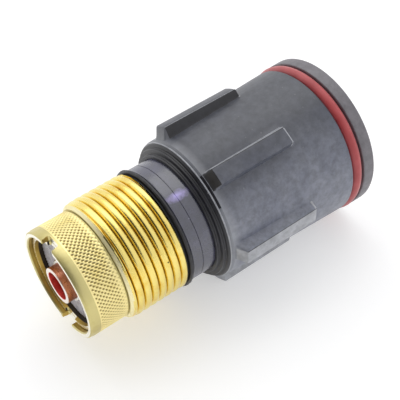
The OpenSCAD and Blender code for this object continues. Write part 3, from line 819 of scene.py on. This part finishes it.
def moulding(name, colour, bloomed, *, smooth=0.34, rough=0.5, index=2.0,
             dust=(0.30, 0.30, 0.31), highlight_patch=None, front_highlight=None, lit_side=None):
    """Black moulded plastic: fine grain, a cloudy bloom, streaks from rubbing and a few dust spots.

    highlight_patch is (middle, colour) of a painted highlight, front_highlight is (front, back,
    colour) of a painted highlight on the front end, and lit_side is the way from the axis to the
    side that is painted lighter, the opposite side being painted darker.
    """
    material, tree, shader, here = new_finish(name)
    bloom = clouds(tree, here, 75.0, 7.0, roughness=0.66)
    skin = two_colours(tree, bloom, colour, bloomed, 0.36, 0.72)
    mottle = ranged(tree, clouds(tree, here, 520.0, 5.0, roughness=0.7), 0.36, 0.64, 0.78, 1.22)
    skin = part(tree, "VectorMath", {0: skin, 3: mottle}, operation="SCALE").outputs[0]
    # Painted light: the side towards lit_side is painted lighter, and the opposite side darker.
    if lit_side:
        out = joined_vectors(tree, "MULTIPLY", here, (0, 1, 1))
        out = part(tree, "VectorMath", {0: out}, operation="NORMALIZE").outputs[0]
        lean = part(tree, "VectorMath", {0: out, 1: lit_side}, operation="DOT_PRODUCT")
        side_light = ranged(tree, lean.outputs["Value"], 0.1, 1.0, 0.5, 1.4, kind="SMOOTHSTEP")
        skin = part(tree, "VectorMath", {0: skin, 3: side_light}, operation="SCALE").outputs[0]
    speckle = ranged(tree, clouds(tree, here, 1100.0, 1.0), 0.75, 0.84, 0.0, 0.5)
    skin = coated(tree, speckle, skin, dust)
    spots = part(tree, "TexVoronoi", {"Vector": here, "Scale": 170.0}).outputs["Distance"]
    skin = coated(tree, joined(tree, "LESS_THAN", spots, 0.030), skin, (0.004, 0.004, 0.004))
    # Painted highlight: the front end is painted paler, fading out towards the back.
    if front_highlight:
        front, back, pale = front_highlight
        along = part(tree, "SeparateXYZ", {0: here}).outputs["X"]
        front_lit = joined(tree, "MULTIPLY", ranged(tree, along, front, back, 1.0, 0.0), bloom)
        skin = coated(tree, front_lit, skin, pale)
    # Painted highlight: a patch round middle, stretched along the axis, in its own colour.
    if highlight_patch:
        middle, patch_colour = highlight_patch
        off = joined_vectors(tree, "SUBTRACT", here, middle)
        off = joined_vectors(tree, "MULTIPLY", off, (300.0, 760.0, 560.0))
        off = part(tree, "VectorMath", {0: off}, operation="LENGTH").outputs["Value"]
        frayed = joined(tree, "ADD", off, clouds(tree, here, 900.0, 4.0))
        skin = coated(tree, ranged(tree, frayed, 1.5, 0.5), skin, patch_colour)
    tree.links.new(skin, shader.inputs["Base Color"])
    gloss = ranged(tree, bloom, 0.3, 0.7, smooth, rough)
    tree.links.new(gloss, shader.inputs["Roughness"])
    streak_way = part(tree, "Mapping", {"Vector": here, "Scale": (60.0, 900.0, 900.0)}).outputs[0]
    streak = clouds(tree, streak_way, 1.0, 3.0)
    grain = clouds(tree, here, 2600.0, 2.0)
    relief(tree, shader, joined(tree, "ADD", grain, streak), 0.25, 4e-5)
    shader.inputs["IOR"].default_value = index
    return material


black_rubber = moulding("black_rubber", (0.010, 0.010, 0.011), (0.018, 0.018, 0.019),
                        smooth=0.5, rough=0.65, index=1.5, dust=(0.06, 0.06, 0.06))
washer.data.materials.append(black_rubber)
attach(washer, "torch")
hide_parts("insulating_washer")


# Neck
# A glossy black sleeve moulded round the barrel's tail. It starts in a rough-edged lip
# against the washer, has the mould's fine parting groove round it and ends under the grip.

NECK_R = 14.8
NECK_LIP_R = 15.5
NECK_LIP_TO = 27.0
NECK_GROOVE_X = 29.6
NECK_GROOVE_R = NECK_R - 0.14
NECK_STEP_X = 36.0
NECK_STEP_R = 15.6
NECK_TO = 38.2


def ragged_lip(x, r, a):
    """The lip's edge is rough, as it was cut from its flash by hand."""
    if r < NECK_R + 0.05 or x > NECK_LIP_TO + 0.05:
        return r
    rough_edge = noise.noise(Vector((9 * math.sin(a), 9 * math.cos(a), x * 1.2)))
    crumb = noise.noise(Vector((34 * math.sin(a), 34 * math.cos(a), x * 3.0)))
    return r - 0.16 - 0.10 * rough_edge - 0.09 * crumb


neck = turned("moulded_neck", outline_of([
    (WASHER_TO, TAIL_WAY_R, 0.0), (WASHER_TO, NECK_R + 0.2, 0.0),
    (WASHER_TO + 0.05, NECK_LIP_R - 0.25, 0.1), (WASHER_TO + 0.3, NECK_LIP_R, 0.2),
    (NECK_LIP_TO - 0.35, NECK_LIP_R, 0.25), (NECK_LIP_TO, NECK_R + 0.12, 0.2),
    (NECK_LIP_TO + 0.4, NECK_R, 0.2), (NECK_GROOVE_X, NECK_R, 0.0),
    (NECK_GROOVE_X + 0.07, NECK_GROOVE_R, 0.0), (NECK_GROOVE_X + 0.16, NECK_GROOVE_R, 0.0),
    (NECK_GROOVE_X + 0.24, NECK_R, 0.0), (NECK_STEP_X, NECK_R, 0.0),
    (NECK_STEP_X, NECK_STEP_R, 0.0), (NECK_TO, NECK_STEP_R, 0.1), (NECK_TO, TAIL_WAY_R, 0.0),
]), height=ragged_lip, angles=240)
# The neck's violet patch is a painted highlight.
neck_black = moulding("neck_moulding", (0.028, 0.030, 0.046), (0.055, 0.054, 0.105),
                      smooth=0.17, rough=0.32, index=2.0, dust=(0.30, 0.30, 0.42),
                      highlight_patch=((0.0302, -0.0060, 0.0135), (0.50, 0.42, 0.88)))
lip_black = moulding("lip_moulding", (0.012, 0.012, 0.014), (0.030, 0.030, 0.036),
                     smooth=0.30, rough=0.55, index=1.5, dust=(0.40, 0.40, 0.42))
neck.data.materials.append(neck_black)
neck.data.materials.append(lip_black)
for face in neck.data.polygons:
    if face.center.x * 1000 < NECK_LIP_TO - 0.1:
        face.material_index = 1
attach(neck, "torch")
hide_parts("neck_sleeve")


# Grip
# The moulded black body: a stepped shoulder with the fine rings of its mould, a gently
# tapered barrel and six long ridges, each with steep flanks, a bevelled front and a square
# rear end. It is moulded over the water jacket and the manifold.

SHOULDER_FROM = 33.1
SHOULDER_BORE_R = 14.85
GRIP_FROM = 35.7
GRIP_BORE_FROM = 35.9
GRIP_TO = 72.0
GRIP_FRONT_R = 18.1
GRIP_REAR_R = 19.6
GRIP_BORE_R = 16.6
RIDGES = 6
RIDGE_R = 21.05
RIDGE_HALF = 7.75
RIDGE_FROM = 36.4
RIDGE_TOP_FROM = 37.8
RIDGE_TO = 59.0
RIDGE_FAR_STEEPNESS = 2.2
RIDGE_NEAR_STEEPNESS = 1.25
RIDGE_TOP = [
    (RIDGE_FROM, 0.0), (RIDGE_FROM + 0.15, 0.09), (RIDGE_TOP_FROM - 0.2, 0.86),
    (RIDGE_TOP_FROM, 0.965), (RIDGE_TOP_FROM + 0.25, 1.0), (RIDGE_TO - 0.8, 1.0),
    (RIDGE_TO - 0.5, 0.95), (RIDGE_TO - 0.36, 0.82), (RIDGE_TO - 0.14, 0.16),
    (RIDGE_TO, 0.05), (RIDGE_TO + 0.3, 0.0),
]
SHOULDER_STEPS = [
    (SHOULDER_FROM, 15.55, 0.12), (33.45, 15.66, 0.0), (33.52, 15.56, 0.0), (33.60, 15.68, 0.0),
    (33.95, 15.78, 0.06), (33.97, 16.72, 0.12), (34.35, 16.84, 0.0), (34.42, 16.74, 0.0),
    (34.50, 16.87, 0.0), (34.80, 16.95, 0.06), (34.84, 17.50, 0.25), (GRIP_FROM, 18.08, 0.6),
]
RIDGE_EDGE = [
    (-1.50, 1.0), (-1.28, 0.985), (-1.12, 0.93), (-0.98, 0.84), (-0.70, 0.60),
    (-0.40, 0.34), (-0.16, 0.13), (0.0, 0.045), (0.25, 0.0),
]


def between(table, value):
    """The second number of a table of pairs at a value of the first."""
    if value <= table[0][0]:
        return table[0][1]
    for (a, low), (b, high) in zip(table, table[1:]):
        if value <= b:
            return low + (high - low) * (value - a) / (b - a)
    return table[-1][1]


def body_r(x):
    """The radius of the tapered body between its ridges."""
    share = (x - GRIP_FROM) / (GRIP_TO - 0.5 - GRIP_FROM)
    return GRIP_FRONT_R + (GRIP_REAR_R - GRIP_FRONT_R) * share


def ridged(x, r, a):
    """The six ridges rise from the body here, each with its far flank the steeper one."""
    if r < GRIP_FRONT_R - 0.05 or not RIDGE_FROM - 0.2 < x < RIDGE_TO + 0.5:
        return r
    turn = math.degrees(a) % (360 / RIDGES) - 180 / RIDGES
    edge = (abs(turn) - RIDGE_HALF) * math.radians(1) * RIDGE_R
    edge *= RIDGE_FAR_STEEPNESS if turn > 0 else RIDGE_NEAR_STEEPNESS
    rise = between(RIDGE_TOP, x) * (RIDGE_R - body_r(x))
    return r + rise * between(RIDGE_EDGE, edge)


def grip_turns():
    """The angles that the grip's skin needs: close together on the ridges' flanks."""
    turns = set()
    for k in range(RIDGES):
        middle = (180 + 360 * k) / RIDGES
        for side, steepness in ((-1, RIDGE_NEAR_STEEPNESS), (1, RIDGE_FAR_STEEPNESS)):
            for d, h in RIDGE_EDGE:
                edge = RIDGE_HALF + math.degrees(d / steepness / RIDGE_R)
                turns.add(round(middle + side * edge, 4) % 360)
            for step in (0, 2.5, 12, 14.5, 17, 20, 23, 26, 29):
                turns.add((middle + side * step) % 360)
    return [math.radians(t) for t in sorted(turns)]


ridge_steps = sorted({RIDGE_FROM - 0.15, RIDGE_FROM + 0.5, RIDGE_FROM + 0.85,
                      RIDGE_TO - 0.25, RIDGE_TO + 0.12}
                     | {x for x, h in RIDGE_TOP} | {40.0 + 2 * k for k in range(9)})
grip_outline = outline_of([
    (GRIP_BORE_FROM, SHOULDER_BORE_R, 0.0), (SHOULDER_FROM, SHOULDER_BORE_R, 0.05),
    *SHOULDER_STEPS,
])
grip_outline += [(x, body_r(x)) for x in (*ridge_steps, 62.0, 65.0, 68.0)]
grip_outline += outline_of([
    (71.55, body_r(71.5), 0.2), (GRIP_TO, 19.15, 0.15), (GRIP_TO, GRIP_BORE_R, 0.0),
    (GRIP_BORE_FROM, GRIP_BORE_R, 0.0),
])
grip = turned("ridged_grip", grip_outline, angles=grip_turns(), height=ridged, sharp=28)
# The grip's moulding has a painted highlight on its front end and is painted lighter low down than
# on top.
body_black = moulding("grip_moulding", (0.092, 0.100, 0.136), (0.166, 0.174, 0.204),
                      smooth=0.34, rough=0.50, index=1.64,
                      front_highlight=(0.0356, 0.0385, (0.42, 0.43, 0.46)), lit_side=(0.0, -0.985, -0.17))
# Painted shade: a near-black copy of the moulding.
shade_black = moulding("painted_shade_moulding", (0.012, 0.012, 0.015), (0.028, 0.028, 0.036),
                       smooth=0.34, rough=0.50, index=1.55)
# Painted highlight: a pale copy of the moulding.
highlight_black = moulding("painted_highlight_moulding", (0.29, 0.30, 0.33), (0.42, 0.43, 0.46),
                        smooth=0.34, rough=0.48, index=1.8)
PLAIN, SHADED, HIGHLIT = range(3)
for finish in (body_black, shade_black, highlight_black):
    grip.data.materials.append(finish)


def painted_light_of(face):
    """Painted shade on the shoulder, the middle ridge's front bevel and the ridges' shaded flanks
    and far edges, painted highlight on their rounded edges, lit flanks and rear ends and on the
    shoulder's rim, and the body's moulding elsewhere.
    """
    x, y, z = face.center * 1000
    r = math.hypot(y, z)
    side = (face.normal.y * z - face.normal.z * y) / r
    turn = math.degrees(math.atan2(-y, z))
    on_ridge = RIDGE_FROM < x < RIDGE_TO and r > body_r(x) + 0.15
    if x < GRIP_FROM - 0.55:
        return SHADED
    if x < RIDGE_TOP_FROM - 0.1 and face.normal.x < -0.5 and 7 < -y < z + 2:
        return SHADED
    if RIDGE_TOP_FROM < x < RIDGE_TO and side < -0.08 and not 20 < turn < 40:
        return SHADED if side < -0.62 else HIGHLIT
    if RIDGE_TOP_FROM < x < RIDGE_TO - 0.6 and 0.1 < side < 0.5 and r > RIDGE_R - 0.2:
        return SHADED
    if x < GRIP_FROM + 0.1 and r > 17.4:
        return HIGHLIT
    if on_ridge and (side > 0.35 and not 60 < turn < 100 or 83 < turn < 100 and side < 0.1):
        return HIGHLIT
    if on_ridge and x > RIDGE_TO - 0.8:
        return HIGHLIT
    return PLAIN


for face in grip.data.polygons:
    face.material_index = painted_light_of(face)
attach(grip, "torch")
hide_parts("grip_shell")


# Red seal ring
# A cord of red silicone rubber of 3 mm, stretched into the groove before the end flange. It
# has the faint flash line of its mould and a dusty bloom.

RING_X = 73.53
RING_CENTRE_R = 18.55
CORD_R = 1.42
FLASH = 0.03
CORD_SIDES = 40


def silicone_cord(x, r, a):
    """The cord lies a little unevenly in its groove."""
    way = noise.noise(Vector((4 * math.sin(a), 4 * math.cos(a), 2.0)))
    return r - 0.02 - 0.02 * way


seal_outline = []
for k in range(CORD_SIDES):
    a = 2 * math.pi * k / CORD_SIDES
    r = CORD_R + (FLASH if k in (CORD_SIDES // 4, 3 * CORD_SIDES // 4) else 0.0)
    seal_outline.append((RING_X + r * math.cos(a), RING_CENTRE_R + r * math.sin(a)))
seal_ring = turned("red_silicone_ring", seal_outline, angles=240, height=silicone_cord, sharp=60)
red_silicone, tree, shader, here = new_finish("red_silicone")
bloom = clouds(tree, here, 260.0, 6.0)
silicone_skin = two_colours(tree, bloom, (0.40, 0.042, 0.047), (0.50, 0.075, 0.080), 0.3, 0.7)
tree.links.new(silicone_skin, shader.inputs["Base Color"])
relief(tree, shader, clouds(tree, here, 3200.0, 3.0), 0.3, 3e-5)
shader.inputs["Roughness"].default_value = 0.42
shader.inputs["Sheen Weight"].default_value = 0.25
shader.inputs["Sheen Roughness"].default_value = 0.5
seal_ring.data.materials.append(red_silicone)
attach(seal_ring, "torch")
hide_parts("red_seal_ring")


# End flange
# A disc of matt black moulding that closes the rear. It is bored for the three sockets, the
# back cap and three sunk screws, and its groove holds the red ring.

FLANGE_R = 20.0
FLANGE_FROM = 75.0
FLANGE_TO = 78.3
GROOVE_R = 17.0
SOCKET_TURNS = (210, 330, 90)
SCREW_TURNS = (30, 150, 270)
SOCKET_CIRCLE_R = 12.2
SOCKET_R = 3.8
SCREW_CIRCLE_R = 13.4
CAP_WAY_R = 7.8
HEAD_FROM = 76.3
SCREW_WAY_R = 1.6
HEAD_WAY_R = 2.85
DOWEL_WAY_R = 1.26
DOWEL_WAY_TO = 75.7
DRILL_FROM = GRIP_TO - 1

flange = turned("black_end_flange", outline_of([
    (GRIP_TO, CAP_WAY_R, 0.1), (GRIP_TO, GROOVE_R, 0.0), (FLANGE_FROM, GROOVE_R, 0.15),
    (FLANGE_FROM, FLANGE_R - 0.05, 0.35), (FLANGE_TO, FLANGE_R, 0.45),
    (FLANGE_TO, CAP_WAY_R, 0.2),
]), angles=240)
for turn in SOCKET_TURNS:
    cut_away(flange, round_bar("socket_drill", SOCKET_R + 0.05, DRILL_FROM, FLANGE_TO,
                               beside(turn, SOCKET_CIRCLE_R), 48, flare=0.15))
for turn in SCREW_TURNS:
    place = beside(turn, SCREW_CIRCLE_R)
    cut_away(flange, round_bar("screw_drill", SCREW_WAY_R, DRILL_FROM, HEAD_FROM + 0.7, place))
    cut_away(flange, round_bar("head_drill", HEAD_WAY_R, HEAD_FROM, FLANGE_TO, place, 40,
                               flare=0.12))
cut_away(flange, round_bar("dowel_drill", DOWEL_WAY_R, DRILL_FROM, DOWEL_WAY_TO,
                           beside(0, SCREW_CIRCLE_R)))
flange_black = moulding("flange_moulding", (0.115, 0.104, 0.120), (0.150, 0.138, 0.156),
                        smooth=0.46, rough=0.60, index=1.9)
flange.data.materials.append(flange_black)
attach(flange, "torch")
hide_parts("end_flange")


# Sockets
# Three brass inserts that are pressed into the manifold for the hose stems. Each has a
# lead-in at its mouth and a groove with a small rubber ring that grips the stem.

SOCKET_FROM = 66.0
SOCKET_TO = 78.1
SOCKET_BORE_R = 2.5
SEAL_FROM = 75.7
SEAL_TO = 76.7
SEAL_WAY_R = 3.35

for name, turn in zip(("water_in", "water_out", "gas"), SOCKET_TURNS):
    y, z = beside(turn, SOCKET_CIRCLE_R)
    socket = turned(name + "_stem_socket", outline_of([
        (SOCKET_FROM, SOCKET_BORE_R, 0.1), (SOCKET_FROM, SOCKET_R, 0.2),
        (SOCKET_TO, SOCKET_R, 0.15), (SOCKET_TO, SOCKET_BORE_R + 0.5, 0.1),
        (SOCKET_TO - 0.5, SOCKET_BORE_R, 0.1), (SEAL_TO, SOCKET_BORE_R, 0.05),
        (SEAL_TO, SEAL_WAY_R, 0.05), (SEAL_FROM, SEAL_WAY_R, 0.05),
        (SEAL_FROM, SOCKET_BORE_R, 0.05),
    ]), angles=64, centre=(y, z))
    socket.data.materials.append(turned_metal(
        name + "_socket_brass", (0.82, 0.66, 0.30), (0.60, 0.42, 0.13), smooth=0.2, rough=0.36,
        centre=(0.0, y * 0.001, z * 0.001)))
    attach(socket, "torch")
    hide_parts(name + "_socket")
dress("socket_seals", black_rubber)


# Flange screws and dowel
# Three socket head screws of plated steel, turned, with a rounded head edge and a broached
# hexagon, sunk in the flange. A plain dowel under the flange lines it up.

SCREW_FROM = 67.3
SCREW_R = 1.5
SCREW_ROOT_R = 1.28
SCREW_STEPS = 17
SCREW_STEP = 0.25
SHANK_FROM = 72.2
HEAD_R = 2.75
HEAD_TO = 78.1
HEXAGON_R = 1.44
HEXAGON_FROM = 77.02

screw_outline = [(SCREW_FROM, 0.0, 0.0), (SCREW_FROM, SCREW_R - 0.3, 0.1)]
for step in range(SCREW_STEPS):
    screw_outline.append(
        (SCREW_FROM + 0.4 + SCREW_STEP * step, SCREW_R if step % 2 else SCREW_ROOT_R, 0.0))
screw_outline += [
    (SHANK_FROM, SCREW_R, 0.1), (HEAD_FROM, SCREW_R, 0.0), (HEAD_FROM, HEAD_R, 0.1),
    (HEAD_TO, HEAD_R, 0.35), (HEAD_TO, 0.0, 0.0),
]
for k, turn in enumerate(SCREW_TURNS):
    y, z = beside(turn, SCREW_CIRCLE_R)
    screw = turned("flange_screw_%d" % (k + 1), outline_of(screw_outline), angles=48, centre=(y, z))
    hexagon = []
    for i in range(6):
        a = math.radians(60 * i + 8 * k)
        hexagon.append((y + HEXAGON_R * math.cos(a), z + HEXAGON_R * math.sin(a)))
    broach = made("broach", [(x, p, q) for x in (HEXAGON_FROM, HEAD_TO + 0.9) for p, q in hexagon],
                  [tuple(range(6)), tuple(range(11, 5, -1))]
                  + [(i, (i + 1) % 6, 6 + (i + 1) % 6, 6 + i) for i in range(6)])
    cut_away(screw, broach)
    screw.data.materials.append(turned_metal(
        "screw_steel_%d" % (k + 1), (0.50, 0.50, 0.49), (0.33, 0.33, 0.33), smooth=0.24,
        rough=0.4, centre=(0.0, y * 0.001, z * 0.001)))
    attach(screw, "torch")
    if k == 0:
        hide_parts("flange_screws")
dress("flange_dowel", steel("dowel_steel", (0.55, 0.55, 0.54), 0.3))


# Back cap
# A turned brass plug that screws in behind the collet and pushes it forwards. Its flat head
# has a coin slot and a fine straight knurl, and a rubber ring under it keeps the gas in.

CAP_FROM = 63.05
CAP_BORE_R = 3.25
CAP_THREAD_R = 5.5
CAP_ROOT_R = 5.2
CAP_THREAD_STEPS = 26
CAP_THREAD_STEP = 0.375
CAP_HEAD_R = 7.5
CAP_HEAD_FROM = 73.3
CAP_FLOOR = 75.3
CAP_TO = 78.1
CAP_SLOT_W = 1.8
CAP_SLOT_DEPTH = 1.6
MILLED_FROM = 74.0
MILLED_TO = 77.3
MILLED_AROUND = 72
MILLED_DEPTH = 0.08


def milled_edge(x, r, a):
    """The head's straight knurl."""
    if r < CAP_HEAD_R - 0.02 or not MILLED_FROM < x < MILLED_TO:
        return r
    return r - MILLED_DEPTH * (0.5 + 0.5 * math.cos(MILLED_AROUND * a))


back_cap = turned("slotted_back_cap", outline_of([
    (CAP_FROM, CAP_BORE_R, 0.1), (CAP_FROM, CAP_ROOT_R, 0.15),
] + [
    (CAP_FROM + 0.35 + CAP_THREAD_STEP * step, CAP_THREAD_R if step % 2 else CAP_ROOT_R, 0.0)
    for step in range(CAP_THREAD_STEPS)
] + [
    (CAP_HEAD_FROM, CAP_THREAD_R, 0.0), (CAP_HEAD_FROM, CAP_HEAD_R, 0.2),
    (MILLED_FROM + 0.1, CAP_HEAD_R, 0.0), (75.0, CAP_HEAD_R, 0.0), (76.0, CAP_HEAD_R, 0.0),
    (MILLED_TO - 0.1, CAP_HEAD_R, 0.0), (CAP_TO, CAP_HEAD_R, 0.45), (CAP_TO, 0.0, 0.0),
    (CAP_FLOOR, 0.0, 0.0), (CAP_FLOOR, CAP_BORE_R, 0.1),
]), angles=288, height=milled_edge)
half = CAP_SLOT_W / 2
slot_floor = CAP_TO - CAP_SLOT_DEPTH
slot_side = [
    (slot_floor, half - 0.2), (slot_floor + 0.2, half), (CAP_TO - 0.15, half),
    (CAP_TO, half + 0.15), (CAP_TO + 1, half + 0.15),
]
cut_away(back_cap, prism("coin_cutter", [(x, -y) for x, y in slot_side] + slot_side[::-1],
                         -CUTTER_REACH, CUTTER_REACH))
back_cap.data.materials.append(turned_metal("cap_brass", (0.84, 0.66, 0.26), (0.62, 0.42, 0.12),
                                            smooth=0.18, rough=0.34, depth=4e-5))
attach(back_cap, "back_cap")
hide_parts("back_cap")
dress("cap_seal", black_rubber)


# Inner pieces
# The copper core with its brass jacket and manifold, the water and gas tubes, the white gas
# bush, the slotted collet and the rubber rings. They are hidden once the torch is together.

core_copper = turned_metal("core_copper", (0.66, 0.31, 0.20), (0.40, 0.15, 0.09))
for node in ("torch_core", "water_tube", "gas_tube", "collet"):
    dress(node, core_copper)
for node in ("water_jacket", "manifold_block"):
    dress(node, gold_brass)
for node in ("jacket_seals", "core_seal", "lens_seal"):
    dress(node, black_rubber)
dress("gas_bush", moulding("white_bush_plastic", (0.78, 0.77, 0.73), (0.72, 0.70, 0.65),
                           smooth=0.4, rough=0.55, index=1.5, dust=(0.60, 0.58, 0.52)))
